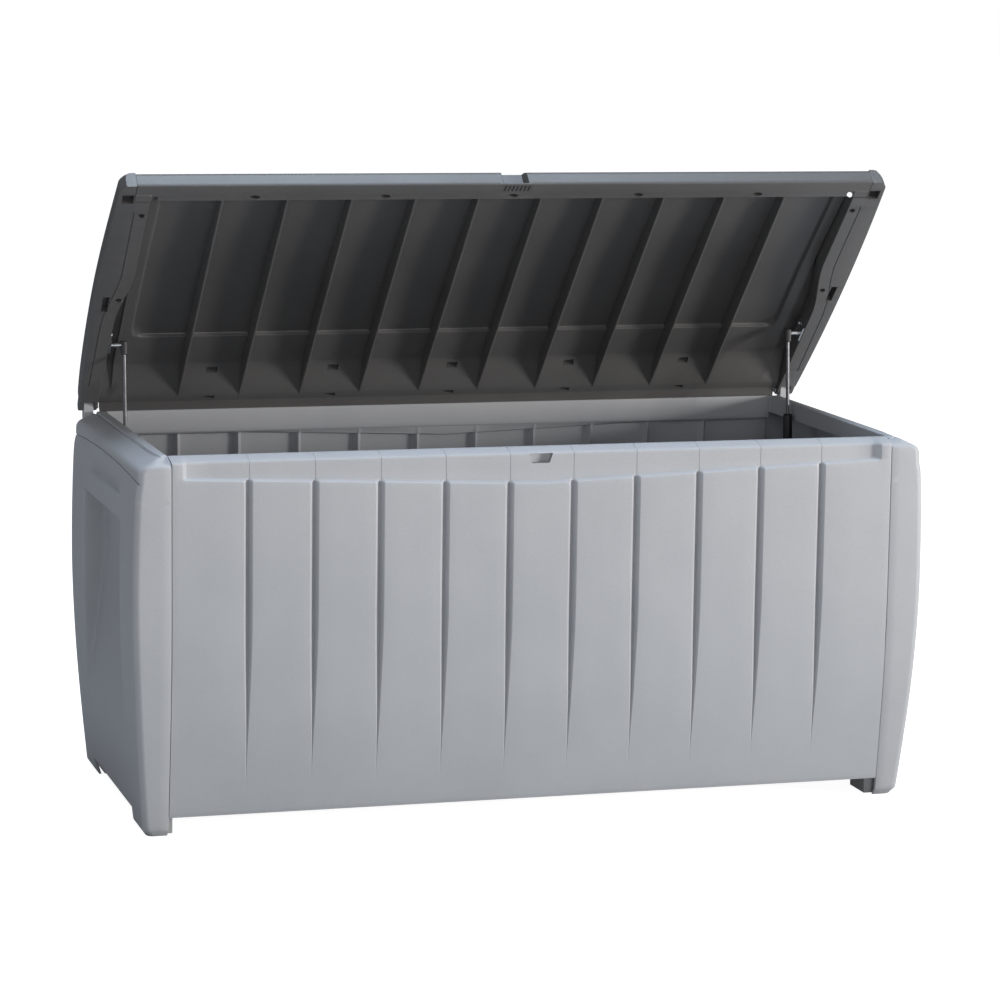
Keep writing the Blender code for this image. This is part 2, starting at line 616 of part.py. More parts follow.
def brackets(name, side, mats, frame, lid):
    steel = mats["steel"]
    plate_x = side * (RAIL_INNER[1] - GAP)
    centre = abs(plate_x) - 0.0013 - STRUT_FOOT.x
    neck = [(0, STUD_RADIUS)]
    for along, radius in ball_profile(BALL_RADIUS)[1:]:
        neck.append((centre + along, radius))
    plate = ((-ANCHOR_U - 0.016, -0.0075), (-ANCHOR_U + 0.016, 0.0140))
    stud = {"at": (-ANCHOR_U, ANCHOR_V), "profile": neck}
    screws = [(-ANCHOR_U + dy, BRACKET_SCREW_Z) for dy in LID_BRACKET_SCREWS]
    stud_bracket(f"{name}_lid_bracket", plate_x, plate, stud, screws, steel, lid)
    for i, (y, z) in enumerate(screws):
        head = (plate_x - side * 0.0029, y, z)
        screw(f"{name}_lid_bracket_screw_{i + 1}", head, (side, 0, 0), 0.0075, steel, lid)
    wall_x = side * (strut_wall_x() - GAP)
    reach = abs(wall_x) - 0.0013 - STRUT_FOOT.x
    post = [(0, 0.0070), (reach - 0.0060, 0.0048), (reach - 0.0058, STUD_RADIUS)]
    post += [(reach + 0.0060, STUD_RADIUS), (reach + 0.0060, 0.0090), (reach + 0.0085, 0.0090)]
    y, z = STRUT_FOOT.y, STRUT_FOOT.z
    plate = ((y - 0.011, z - 0.024), (y + 0.011, z + 0.024))
    screws = [(y + dy, z + dz) for dy, dz in FOOT_SCREWS]
    stud = {"at": (y, z), "profile": post}
    stud_bracket(f"{name}_wall_bracket", wall_x, plate, stud, screws, steel, frame)
    for i, (y, z) in enumerate(screws):
        head = (wall_x - side * 0.0029, y, z)
        screw(f"{name}_wall_bracket_screw_{i + 1}", head, (side, 0, 0), 0.0050, steel, frame)


def hinge_pin(name, side, mat, lid):
    start = (side * (EARS_X[0][0] - GAP), 0, 0)
    length = PIN_END_X - (EARS_X[0][0] - GAP)
    profile = [(-0.0020, 0.0056), (0, 0.0056), (0, PIN_RADIUS), (length, PIN_RADIUS)]
    return add_object(f"{name}_hinge_pin", turned_mesh(profile, start, (side, 0, 0)), mat, lid)


def build():
    clear_scene()
    mats = {
        "grey": material("grey_resin", (0.40, 0.42, 0.44), 0.55),
        "brown": material("dark_resin", (0.055, 0.053, 0.052), 0.55),
        "steel": material("zinc_steel", (0.55, 0.56, 0.58), 0.35, 1.0),
        "black": material("black_paint", (0.02, 0.02, 0.022), 0.35),
        "dark": material("black_nylon", (0.03, 0.03, 0.032), 0.5),
    }
    frame = bpy.data.objects.new("box_frame", None)
    lid = bpy.data.objects.new("lid_frame", None)
    for empty in (frame, lid):
        bpy.context.collection.objects.link(empty)
    frame.location = (0, CENTRE_Y, 0)
    lid.parent = frame
    lid.location = (0, HINGE_Y, HINGE_Z)
    lid.rotation_euler.x = -OPEN_ANGLE

    front = plank_panel("front_panel", -1, RIM_INNER_FRONT, mats["grey"], frame)
    lock_slot(front, frame)
    plank_panel("back_panel", 1, RIM_INNER_BACK, mats["grey"], frame)
    floor_panel(mats["grey"], frame)
    rings = [lid_ring(*station) for station in lid_stations()]
    panel = add_object("lid_panel", loft_mesh(rings), mats["brown"], lid)
    for name, side in SIDES.items():
        end_panel(name, side, mats["grey"], frame)
        lid_rail(name, side, mats["brown"], lid)
        hinge_pin(name, side, mats["steel"], lid)
        brackets(name, side, mats, frame, lid)
        gas_strut(name, side, mats, frame)
        for i, y in enumerate(RAIL_SCREWS_Y):
            x = side * rail_screw_x(y)
            seat = LID_BOTTOM + 0.0192
            shank = lid_top(y) - 0.0016 - seat
            screw(f"{name}_rail_screw_{i + 1}", (x, y, seat), (0, 0, 1), shank, mats["steel"], lid)
            hole = [(0, SCREW_HOLE), (0.008, SCREW_HOLE)]
            start = (x, y, lid_top(y) - 0.009)
            cut_hole(panel, f"{name}_panel_hole_{i}", hole, start, (0, 0, 1), lid)


build()
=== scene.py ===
"""Looks of the deck storage box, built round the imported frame.

Resin panels, a ribbed lid and gas struts. Metres, +Z up, +Y to the back. The box's own frame is
the row frame moved by CENTRE_Y. The lid is modelled closed, with the hinge axis as its origin,
and turned open by OPEN_ANGLE.
"""

from math import cos, pi, radians, sin

import bmesh
import bpy
from mathutils import Matrix, Vector


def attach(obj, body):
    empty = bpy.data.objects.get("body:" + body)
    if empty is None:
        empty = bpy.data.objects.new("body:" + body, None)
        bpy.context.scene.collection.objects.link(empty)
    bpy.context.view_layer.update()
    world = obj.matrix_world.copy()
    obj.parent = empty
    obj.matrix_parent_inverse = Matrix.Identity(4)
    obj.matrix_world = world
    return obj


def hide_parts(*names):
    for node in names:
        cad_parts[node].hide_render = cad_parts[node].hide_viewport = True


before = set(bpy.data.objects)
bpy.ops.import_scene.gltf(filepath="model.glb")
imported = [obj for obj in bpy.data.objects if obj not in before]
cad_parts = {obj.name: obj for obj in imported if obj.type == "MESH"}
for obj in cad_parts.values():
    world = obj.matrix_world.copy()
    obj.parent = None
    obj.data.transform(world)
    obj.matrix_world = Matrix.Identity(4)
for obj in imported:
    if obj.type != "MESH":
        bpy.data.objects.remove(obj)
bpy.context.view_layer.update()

# Dimensions. They are the CAD part's own, apart from those marked as drawn closer to the real box.
PLANK_PITCH = 0.099
PLANKS = 11
SEAM_X = 0.559
HALF_LENGTH = 0.6158
PLANK_FACE = 0.2745
BAND_FACE = 0.2647
PLANK_RAISE = 0.0098
RIM_Z = 0.567
BODY_BOTTOM = 0.028
WALL = 0.004
GAP = 0.0003
CENTRE_Y = -0.0015

RECESS_Y = 0.155
RECESS_DRAFT = 0.008
RECESS_TOP = 0.461
RECESS_FLOOR = 0.580
RECESS_BEND = 0.370
BAR_Y = 0.165
BAR_TOP = 0.4915
BAR_STEP = 0.0075
LEDGE_FALL = 0.006
CORNER_RADIUS = 0.011  # drawn closer
RIM_CORNER = 0.0015
RIM_INNER_X = 0.5610
RIM_INNER_FRONT = 0.2380
RIM_INNER_BACK = 0.2570
FOOT_INNER_Y = 0.1690
FOOT_TUCK = 0.006  # drawn closer
FOOT_TUCK_TOP = 0.012  # drawn closer

HINGE_Y = 0.2689
HINGE_Z = 0.5757
OPEN_ANGLE = radians(44.6)
PIN_HOLE = 0.00445
PIN_END_X = 0.6005
KNUCKLE_X = (0.5805, 0.5960)
KNUCKLE_RADIUS = 0.0085
KNUCKLE_ROOT = 0.0125  # how far below the rim it starts
EAR_RADIUS = 0.0082
EAR_REAR_Y = -0.0210
ROUND_STEPS = 24  # of a knuckle's or an ear's arc
EARS_X = ((0.5747, 0.5798), (0.5967, 0.6036))

LID_HALF_WIDTH = 0.579
LID_FRONT = 0.5375
LID_TOP = 0.0300
LID_BOTTOM = RIM_Z + 0.0006 - HINGE_Z
RIB_EDGE = -0.002
FLANGE_Z = -0.0065
REAR_LIP = (
    (-0.0040, 0.0165), (0.0030, 0.0076), (0.0082, 0.0018), (0.0085, -0.0066), (0.0060, -0.0078),
)
REAR_LIP_INSET = 0.0034
RIB_FRONT = 0.5013
RIB_FADE = (0.0780, 0.0230)  # drawn closer
# Where the straight runs of the lid's skin meet: behind its ribs, then down its rear end.
SKIN_ROWS = (-0.08, -0.1053, -0.16, -0.27, -0.38, -0.46, -RIB_FRONT - 0.0004)
SKIN_END = ((-0.0170, 0.0195), (-0.0300, 0.0215))
RAIL_INNER = (0.5565, 0.5745)
RAIL_TURN = (0.34, 0.21)
RAIL_OUTER = (0.6040, 0.6115, 0.6040)
RAIL_CORNER = (0.0095, 0.0130)
RAIL_SCREWS_Y = (-0.470, -0.2720)
SCREW_HOLE = 0.0022

ANCHOR_U = 0.1565
ANCHOR_V = -0.0030
STRUT_FOOT = Vector((0.5505, 0.1360, 0.4000))
ROD_RADIUS = 0.003
CYLINDER_RADIUS = 0.0075
CYLINDER_LENGTH = 0.137
CYLINDER_START = 0.0145
SOCKET_LENGTH = 0.0150
ROD_END = 0.1345

SHARP_ANGLE = radians(32)  # edges sharper than this aren't shaded smooth
SIDES = {"left": -1, "right": 1}
GROOVES = [PLANK_PITCH * (i - (PLANKS - 2) / 2) for i in range(PLANKS - 1)]
IN_BOX = Matrix.Translation((0, CENTRE_Y, 0))
IN_LID = Matrix.Translation((0, CENTRE_Y + HINGE_Y, HINGE_Z)) @ Matrix.Rotation(-OPEN_ANGLE, 4, "X")


# ---------------------------------------------------------------- mesh helpers


def ramp(value, low, high):
    """0 below low, 1 above high and smooth between; low may be the larger."""
    t = min(max((value - low) / (high - low), 0), 1)
    return t * t * (3 - 2 * t)


def blend(a, b, share):
    return a + (b - a) * share


def follow(rows, at):
    """Linear interpolation in rows of (position, value)."""
    if at <= rows[0][0]:
        return rows[0][1]
    for (a, low), (b, high) in zip(rows, rows[1:]):
        if at <= b:
            return blend(low, high, (at - a) / (b - a))
    return rows[-1][1]


def loft_mesh(rings):
    """Skins closed rings of points, and caps both ends."""
    bm = bmesh.new()
    rows = [[bm.verts.new(p) for p in ring] for ring in rings]
    count = len(rows[0])
    for a, b in zip(rows, rows[1:]):
        for i in range(count):
            j = (i + 1) % count
            bm.faces.new((a[i], a[j], b[j], b[i]))
    bm.faces.new(rows[0])
    bm.faces.new(rows[-1])
    bmesh.ops.recalc_face_normals(bm, faces=bm.faces)
    return bm


def turned_mesh(profile, start, direction, steps=40):
    """Turns a profile of (distance along, radius) round the line from start along direction."""
    turn = Vector((0, 0, 1)).rotation_difference(Vector(direction)).to_matrix()
    rings = []
    for along, radius in profile:
        ring = []
        for i in range(steps):
            angle = 2 * pi * (i + 0.5) / steps
            spoke = Vector((radius * cos(angle), radius * sin(angle), along))
            ring.append(Vector(start) + turn @ spoke)
        rings.append(ring)
    return loft_mesh(rings)


def prism_mesh(corners, low, high, axis="z"):
    """A prism whose section is corners, from low to high along z or y."""
    rings = []
    for level in (low, high):
        if axis == "y":
            rings.append([Vector((a, level, b)) for a, b in corners])
        else:
            rings.append([Vector((a, b, level)) for a, b in corners])
    return loft_mesh(rings)


def box_mesh(low, high):
    (x0, y0, z0), (x1, y1, z1) = low, high
    return prism_mesh([(x0, y0), (x1, y0), (x1, y1), (x0, y1)], z0, z1)


def join_meshes(parts):
    """One mesh holding several closed ones."""
    whole = bmesh.new()
    for part in parts:
        mesh = bpy.data.meshes.new("part")
        part.to_mesh(mesh)
        part.free()
        whole.from_mesh(mesh)
        bpy.data.meshes.remove(mesh)
    return whole


def boolean(base, tool, operation="DIFFERENCE"):
    """base with the closed meshes of tool cut from it or added to it."""
    objects = []
    for bm in (base, tool):
        mesh = bpy.data.meshes.new("operand")
        bm.to_mesh(mesh)
        bm.free()
        obj = bpy.data.objects.new("operand", mesh)
        bpy.context.scene.collection.objects.link(obj)
        objects.append(obj)
    modifier = objects[0].modifiers.new("cut", "BOOLEAN")
    modifier.operation = operation
    modifier.solver = "EXACT"
    modifier.use_self = True
    modifier.object = objects[1]
    graph = bpy.context.evaluated_depsgraph_get()
    result = bmesh.new()
    mesh = bpy.data.meshes.new_from_object(objects[0].evaluated_get(graph))
    result.from_mesh(mesh)
    for obj in objects:
        used = obj.data
        bpy.data.objects.remove(obj)
        bpy.data.meshes.remove(used)
    bpy.data.meshes.remove(mesh)
    return result


def add_piece(name, bm, place, body, mat, nodes):
    """Makes a visible piece that rides on a body and replaces CAD nodes."""
    bmesh.ops.recalc_face_normals(bm, faces=bm.faces)
    mesh = bpy.data.meshes.new(name)
    bm.to_mesh(mesh)
    bm.free()
    mesh.transform(place)
    mesh.shade_smooth()
    mesh.set_sharp_from_angle(angle=SHARP_ANGLE)
    mesh.materials.append(mat)
    obj = bpy.data.objects.new(name, mesh)
    bpy.context.scene.collection.objects.link(obj)
    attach(obj, body)
    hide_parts(*nodes)


# ---------------------------------------------------------------- materials


def node_material(name):
    mat = bpy.data.materials.new(name)
    mat.use_nodes = True
    tree = mat.node_tree
    return mat, tree, tree.nodes["Principled BSDF"]


def noise(tree, coords, scale, detail=3.0, roughness=0.55):
    node = tree.nodes.new("ShaderNodeTexNoise")
    node.inputs["Scale"].default_value = scale
    node.inputs["Detail"].default_value = detail
    node.inputs["Roughness"].default_value = roughness
    tree.links.new(coords, node.inputs["Vector"])
    return node.outputs["Fac"]


def mapped(tree, coords, scale):
    node = tree.nodes.new("ShaderNodeMapping")
    node.inputs["Scale"].default_value = scale
    tree.links.new(coords, node.inputs["Vector"])
    return node.outputs["Vector"]


def to_range(tree, value, low, high, new_low, new_high):
    node = tree.nodes.new("ShaderNodeMapRange")
    node.inputs["From Min"].default_value = low
    node.inputs["From Max"].default_value = high
    node.inputs["To Min"].default_value = new_low
    node.inputs["To Max"].default_value = new_high
    tree.links.new(value, node.inputs["Value"])
    return node.outputs["Result"]


def math_node(tree, operation, a, b):
    node = tree.nodes.new("ShaderNodeMath")
    node.operation = operation
    for socket, value in zip(node.inputs, (a, b)):
        if isinstance(value, (int, float)):
            socket.default_value = value
        else:
            tree.links.new(value, socket)
    return node.outputs["Value"]


def mix_colors(tree, factor, a, b, mode="MIX"):
    node = tree.nodes.new("ShaderNodeMix")
    node.data_type = "RGBA"
    node.blend_type = mode
    if isinstance(factor, (int, float)):
        node.inputs["Factor"].default_value = factor
    else:
        tree.links.new(factor, node.inputs["Factor"])
    for socket, value in ((node.inputs["A"], a), (node.inputs["B"], b)):
        if isinstance(value, tuple):
            socket.default_value = (*value, 1)
        else:
            tree.links.new(value, socket)
    return node.outputs["Result"]


def bump(tree, shader, height, distance):
    node = tree.nodes.new("ShaderNodeBump")
    node.inputs["Strength"].default_value = 1.0
    node.inputs["Distance"].default_value = distance
    tree.links.new(height, node.inputs["Height"])
    tree.links.new(node.outputs["Normal"], shader.inputs["Normal"])


def resin(name, light, dark, roughness, painted_foot_shade=None, grain=1.0, sheen=0.35):
    """Moulded resin: slow mottling, faint flow streaks, a fine matte grain, painted shade that
    darkens it towards the foot and painted highlights that make its sharp edges paler.
    """
    mat, tree, shader = node_material(name)
    coords = tree.nodes.new("ShaderNodeTexCoord").outputs["Object"]
    mottle = noise(tree, coords, 7.0, 4.0)
    streaks = noise(tree, mapped(tree, coords, (60, 60, 4)), 1.0, 3.0)
    fine = noise(tree, coords, 900.0, 2.0)
    base = mix_colors(tree, to_range(tree, mottle, 0.35, 0.65, 0, 1), dark, light)
    base = mix_colors(tree, to_range(tree, streaks, 0.3, 0.7, 0, 0.25), base, light)
    # Painted shade: a colour multiplied in more and more towards the foot darkens the lower panels,
    # standing in for the light that falls off down the box.
    if painted_foot_shade:
        split = tree.nodes.new("ShaderNodeSeparateXYZ")
        tree.links.new(coords, split.inputs["Vector"])
        fall = to_range(tree, split.outputs["Z"], 0.02, 0.56, 1.0, 0.0)  # from foot to rim
        base = mix_colors(tree, fall, base, painted_foot_shade, "MULTIPLY")
    speck = to_range(tree, fine, 0.3, 0.7, 0.94, 1.05)
    speckled = tree.nodes.new("ShaderNodeHueSaturation")
    tree.links.new(base, speckled.inputs["Color"])
    tree.links.new(speck, speckled.inputs["Value"])
    # Painted highlight: sharp outward edges are mixed towards a paler colour, standing in for the
    # light they catch.
    edges = tree.nodes.new("ShaderNodeNewGeometry").outputs["Pointiness"]
    painted_edge_highlight = to_range(tree, edges, 0.53, 0.60, 0.0, 0.35)
    pale = tuple(min(c * 1.35 + 0.02, 1) for c in light)
    with_edge_highlight = mix_colors(tree, painted_edge_highlight, speckled.outputs["Color"], pale)
    tree.links.new(with_edge_highlight, shader.inputs["Base Color"])
    rough = to_range(tree, mottle, 0.3, 0.7, roughness - 0.04, roughness + 0.05)
    tree.links.new(rough, shader.inputs["Roughness"])
    shader.inputs["Specular IOR Level"].default_value = sheen
    leather = noise(tree, coords, 420.0, 3.0, 0.6)
    waves = noise(tree, coords, 16.0, 1.0)
    height = math_node(tree, "ADD", leather, math_node(tree, "MULTIPLY", waves, 4.0))
    bump(tree, shader, height, 0.00012 * grain)
    return mat


def metal(name, light, dark, roughness, brushed=(1, 1, 1)):
    """Zinc or chrome: a faint spangle, streaks along the part and a few dull spots."""
    mat, tree, shader = node_material(name)
    coords = tree.nodes.new("ShaderNodeTexCoord").outputs["Object"]
    spangle = noise(tree, coords, 260.0, 4.0)
    streaks = noise(tree, mapped(tree, coords, brushed), 300.0, 2.0)
    base = mix_colors(tree, to_range(tree, spangle, 0.35, 0.65, 0, 1), dark, light)
    tree.links.new(base, shader.inputs["Base Color"])
    rough = to_range(tree, streaks, 0.3, 0.7, roughness - 0.08, roughness + 0.10)
    tree.links.new(rough, shader.inputs["Roughness"])
    shader.inputs["Metallic"].default_value = 1.0
    bump(tree, shader, streaks, 0.00004)
    return mat


def make_materials():
    grey_light, grey_dark = (0.428, 0.432, 0.448), (0.405, 0.410, 0.427)
    lid_light, lid_dark = (0.090, 0.087, 0.086), (0.078, 0.076, 0.075)
    return {
        # The last colour given to the front and end resins is the painted shade multiplied in
        # towards the foot; the two copies differ only in it.
        "front": resin("grey_resin_front", grey_light, grey_dark, 0.52, (0.84, 0.86, 0.87)),
        "end": resin("grey_resin_ends", grey_light, grey_dark, 0.52, (0.86, 0.87, 0.88)),
        "inside": resin("grey_resin_floor", (0.40, 0.41, 0.42), (0.37, 0.38, 0.39), 0.58),
        "lid": resin("brown_resin_lid", lid_light, lid_dark, 0.42, sheen=0.6),
        "steel": metal("zinc_steel", (0.62, 0.63, 0.65), (0.48, 0.49, 0.51), 0.38, (1, 1, 0.1)),
        "screw": metal("zinc_screws", (0.58, 0.58, 0.58), (0.45, 0.45, 0.46), 0.40),
        "rod": metal("dark_rod", (0.16, 0.16, 0.17), (0.13, 0.13, 0.14), 0.42, (1, 1, 0.02)),
        "paint": resin(
            "black_paint", (0.018, 0.018, 0.020), (0.014, 0.014, 0.016), 0.32, grain=0.4
        ),
        "nylon": resin("black_nylon", (0.030, 0.030, 0.032), (0.024, 0.024, 0.026), 0.50),
    }


MATERIALS = make_materials()


# ---------------------------------------------------------------- plank panels, front and back


def groove_plane(z):
    """Distance from the middle of the box to the bottoms of the grooves: it tucks in low down."""
    return BAND_FACE - 0.0185 * max(1 - z / 0.2, 0) ** 1.5


def plank_height(z):
    """How far a plank stands out from its grooves: it flattens towards the ground."""
    return PLANK_RAISE * ramp(z, 0.07, 0.34)


def band_edge(x):
    """Height where the planks end and the recessed band starts, rising towards the ends."""
    return 0.5150 + 0.0370 * abs(x)


LINE_X = 0.0022  # where the thin line between two planks runs on over the band
# Across a groove: (offset low down, share of the plank height, offset in the band, line depth)
GROOVE_COLUMNS = (
    (-0.0088, 1.000, -0.0088, 0),
    (-0.0074, 0.985, -0.0060, 0),
    (-0.0064, 0.900, -0.0035, 0),
    (-0.0034, 0.450, -0.0006, 0),
    (-0.0008, 0.060, 0.0008, 0),
    (-0.0002, 0.000, LINE_X - 0.0007, 0),
    (0.0003, 0.000, LINE_X, 1),
    (0.0009, 0.080, LINE_X + 0.0007, 0),
    (0.0034, 0.540, 0.0042, 0),
    (0.0054, 0.910, 0.0056, 0),
    (0.0062, 0.985, 0.0066, 0),
    (0.0076, 1.000, 0.0076, 0),
)


def plank_columns():
    """(groove x, offset low, share, offset in the band, line, band share) across a panel."""
    seam = SEAM_X - GAP
    border = []
    for inset, share in ((0, 0), (0.0003, 0.6), (0.0009, 0.93), (0.0016, 1)):
        border.append((-seam + inset, 0, share, 0, 0, 0))
    for x, band in ((0.5445, 0), (0.5425, 0.08), (0.5395, 0.5), (0.5365, 0.92), (0.5345, 1)):
        border.append((-x, 0, 1, 0.0, 0, band))
    border.append((-0.500, 0, 1, 0, 0, 1))
    columns = list(border)
    for i, groove in enumerate(GROOVES):
        for low, share, high, line in GROOVE_COLUMNS:
            columns.append((groove, low, share, high, line, 1))
        if i < len(GROOVES) - 1:
            for part in (0.3, 0.5, 0.7):
                columns.append((groove + PLANK_PITCH * part, 0, 1, 0, 0, 1))
    mirrored = [(-x, 0, share, 0, line, band) for x, _, share, _, line, band in border]
    return columns + mirrored[::-1]


PLANK_ROWS = (0.0286, 0.0305, 0.036, 0.05, 0.07, 0.09, 0.11, 0.13, 0.15, 0.17, 0.19, 0.21, 0.23)
PLANK_ROWS += (0.25, 0.27, 0.29, 0.31, 0.34, 0.39, 0.44, 0.48)
BOTTOM_ROUNDING = (0.0012, 0.0002)
AT_SEAM_X = 0.55  # beyond this a plain column belongs to the rounded edge at the seam
SEAM_ROUNDING = 0.0010
NOTCH_DEPTH = 0.0008
THINNED_ROWS = 26  # of the outside, repeated WALL further in


def plank_section(column, side, ledge):
    """Closed section ring of a plank panel at one column."""
    groove, low, share, high, line, band = column
    at_seam = band == 0 and abs(groove) > AT_SEAM_X
    raised = 1 if at_seam else share
    edge = band_edge(groove)
    outer = []
    for i, z in enumerate((*PLANK_ROWS, edge - 0.010)):
        height = plank_height(z)
        squeeze = 0.12 + 0.88 * height / PLANK_RAISE
        rounding = BOTTOM_ROUNDING[i] if i < len(BOTTOM_ROUNDING) else 0
        y = groove_plane(z) + height * raised - rounding
        outer.append((groove + low * squeeze, y, z))
    step = share * band
    full = BAND_FACE + PLANK_RAISE * raised
    flat = blend(full, BAND_FACE, band)
    notch = NOTCH_DEPTH * line
    drop = full - flat
    outer.append((groove + low, full - 0.0001 * step, edge - 0.0040))
    outer.append((groove + blend(low, high, 0.10), full - 0.0006 * step, edge - 0.0018))
    outer.append((groove + blend(low, high, 0.25), full - 0.0020 * step, edge - 0.0006))
    outer.append((groove + blend(low, high, 0.80), flat + 0.16 * drop, edge + 0.0007))
    outer.append((groove + blend(low, high, 0.95), flat + 0.05 * drop - 0.5 * notch, edge + 0.0016))
    fall = LEDGE_FALL if side < 0 else 0.0
    for z in (edge + 0.0030, 0.540, 0.548, 0.5570 - 0.5 * fall):
        outer.append((groove + high, flat - notch, z))
    for back, up in ((0.0001, 0.0050), (0.0006, 0.0034), (0.0018, 0.0022), (0.0035, 0.0014)):
        outer.append((groove + high, flat - back - notch, RIM_Z - up - fall - 0.3 * notch))
    width = flat - 0.0035 - ledge
    for along in (0.0080, 0.0035):
        slope = fall * (along / width) ** 1.1 + 0.0006
        outer.append((groove + high, ledge + along, RIM_Z - slope - notch))
    inner = [(x, y - WALL, z) for x, y, z in outer[:THINNED_ROWS]][::-1]
    if side < 0:
        lip = [(ledge + 0.0010, 0.0004), (ledge + 0.0002, 0.0014), (ledge, 0.0030), (ledge, 0.0290)]
        lip += [(ledge + 0.0008, 0.0300), (ledge + 0.0032, 0.0300), (ledge + WALL, 0.0290)]
        lip += [(ledge + WALL, 0.0060)]
        floor = 0.0140
    else:
        lip = [(ledge + 0.0010, 0.0004), (ledge + 0.0002, 0.0014), (ledge, 0.0030), (ledge, 0.0300)]
        lip += [(ledge - 0.0004, 0.0305), (ledge - 0.0004, 0.0350), (ledge + 0.0006, 0.0368)]
        lip += [(ledge + 0.0020, 0.0380)]
        floor = 0.0400
    ring = [Vector((x, side * y, z)) for x, y, z in outer]
    x = groove + high
    sunk = 0.0010 if side < 0 else 0.0
    ring += [Vector((x, side * y, RIM_Z - down - (sunk if down < 0.01 else 0))) for y, down in lip]
    for i, (x, y, z) in enumerate(inner):
        ring.append(Vector((x, side * y, min(z, RIM_Z - floor - 0.0004 * i))))
    if at_seam:
        for point in ring:
            if abs(point.y) >= full - 0.003:
                point.y -= side * SEAM_ROUNDING * (1 - share)
    return ring


def plank_panel(name, side, ledge):
    bm = loft_mesh([plank_section(column, side, ledge) for column in plank_columns()])
    if side < 0:
        corners = ((-0.019, 0.5575), (0.019, 0.5575), (0.014, 0.5430), (-0.014, 0.5430))
        bm = boolean(bm, prism_mesh(corners, -BAND_FACE - 0.004, -BAND_FACE + 0.010, "y"))
    piece = f"{name}_planks"
    add_piece(piece, bm, IN_BOX, "box", MATERIALS["front"], [f"{name}_panel"])


plank_panel("front", -1, RIM_INNER_FRONT)
plank_panel("back", 1, RIM_INNER_BACK)


# ---------------------------------------------------------------- end panels


BULGE_Z = 0.35  # where the box is longest


def side_profile(z):
    """Half length of the box at a height."""
    if z > BULGE_Z:
        return HALF_LENGTH - 0.0035 * ((z - BULGE_Z) / 0.15) ** 2
    return HALF_LENGTH - 0.0195 * ((BULGE_Z - z) / BULGE_Z) ** 1.7


def corner_profile(z):
    """Half depth of the box over its corner posts."""
    return groove_plane(z) + plank_height(z)


def recess_floor(z):
    """Half length of the box at the bottom of an end's recess."""
    return RECESS_FLOOR + 0.029 * max((RECESS_BEND - z) / 0.225, 0) ** 1.25


def arch_height(y):
    """Height of the thin arched line pressed into an end face."""
    return 0.5388 - 0.0065 * (abs(y) / 0.24) ** 2


def side_offset(y, z):
    """Half length of an end's outside at one point, with its recess and its ledge."""
    x = side_profile(z)
    if z < RECESS_TOP:
        inside = ramp(abs(y), RECESS_Y + RECESS_DRAFT, RECESS_Y)
        return x - inside * max(x - recess_floor(z), 0)
    if z > BAR_TOP:
        x -= BAR_STEP * ramp(abs(y), BAR_Y, 0.09) * ramp(z, BAR_TOP, 0.4955)
    return x


END_ROWS = (0.034, 0.045, 0.06, 0.08, 0.10, 0.12, 0.14, 0.16, 0.18, 0.20, 0.22, 0.24, 0.26, 0.28)
END_ROWS += (0.30, 0.32, 0.34, 0.37, 0.40, 0.43, 0.452, 0.4590, 0.4600, 0.4606, 0.4612, 0.4620)
END_ROWS += (0.4640, 0.4720, 0.4850, 0.4900, 0.4910, 0.4922, 0.4936, 0.4950, 0.4964, 0.4978)
END_ROWS += (0.4990, 0.5050)
SEAM_EDGE = 0.0014  # how far the rounded edge at a seam reaches


def end_stations():
    """(end, normal's angle in plan, y, share towards the corner, lower edge, distance from seam).

    y is None on a corner post, and end is -1 at the front, 1 at the back and 0 on the straight.
    """
    corner = [(0, None, 0, 0.0, x) for x in (0, 0.0005, SEAM_EDGE, 0.0150)]
    corner += [(89.99 * i / 14, None, 0, 0.0, 1) for i in range(15)]
    corner += [(90, None, 1 - t, 0.0, 1) for t in (0.12, 0.3, 0.5, 0.7, 0.88)]
    half = [(FOOT_INNER_Y, 0.0), (FOOT_INNER_Y - 0.0006, 0.0008)]
    half.append((FOOT_INNER_Y - 0.004, BODY_BOTTOM))
    for part in (1, 0.9, 0.72, 0.5, 0.28, 0.1, 0):
        half.append((RECESS_Y + RECESS_DRAFT * part, BODY_BOTTOM))
    half += [(y, BODY_BOTTOM) for y in (0.150, 0.140, 0.125, 0.110, 0.090, 0.070, 0.045, 0.020)]
    straight = [(-y, low) for y, low in half] + [(0.0, BODY_BOTTOM)] + half[::-1]
    middle = [(90, y, 0, low, 1) for y, low in straight]
    front = [(-1, *station) for station in corner]
    back = [(1, *station) for station in corner[::-1]]
    return front + [(0, *station) for station in middle] + back


def end_point(end, angle, y, share, x, depth, seam, inside=0.0):
    """Where a station meets an outline of this half width and half depth, or a wall inside it."""
    if end == 0:
        return Vector((x - inside, y))
    post_y = depth - CORNER_RADIUS
    if angle == 90:
        return Vector((x - inside, end * blend(FOOT_INNER_Y, post_y, share)))
    if seam < 1:
        edge = SEAM_ROUNDING * max(1 - seam / SEAM_EDGE, 0) ** 2
        return Vector((SEAM_X + GAP + seam, end * (depth - inside - edge)))
    turn = radians(angle)
    centre = Vector((x - CORNER_RADIUS, end * post_y))
    return centre + Vector((sin(turn), end * cos(turn))) * (CORNER_RADIUS - inside)


# Rows over the rim's shoulder: height and half length over the sides, height and half depth over
# the posts.
SIDE_SHOULDER = (
    (0.5440, 0.6078), (0.5465, 0.6071), (0.5488, 0.6060), (0.5508, 0.6045), (0.5526, 0.6024),
    (0.5542, 0.5998), (0.5566, 0.5950), (0.5592, 0.5895), (0.5618, 0.5840), (0.5640, 0.5795),
)
POST_SHOULDER = (
    (0.5440, 0.2745), (0.5465, 0.2745), (0.5485, 0.2745), (0.5505, 0.2744), (0.5522, 0.2742),
    (0.5537, 0.2737), (0.5549, 0.2729), (0.5560, 0.2717), (0.5572, 0.2700), (0.5586, 0.2670),
)
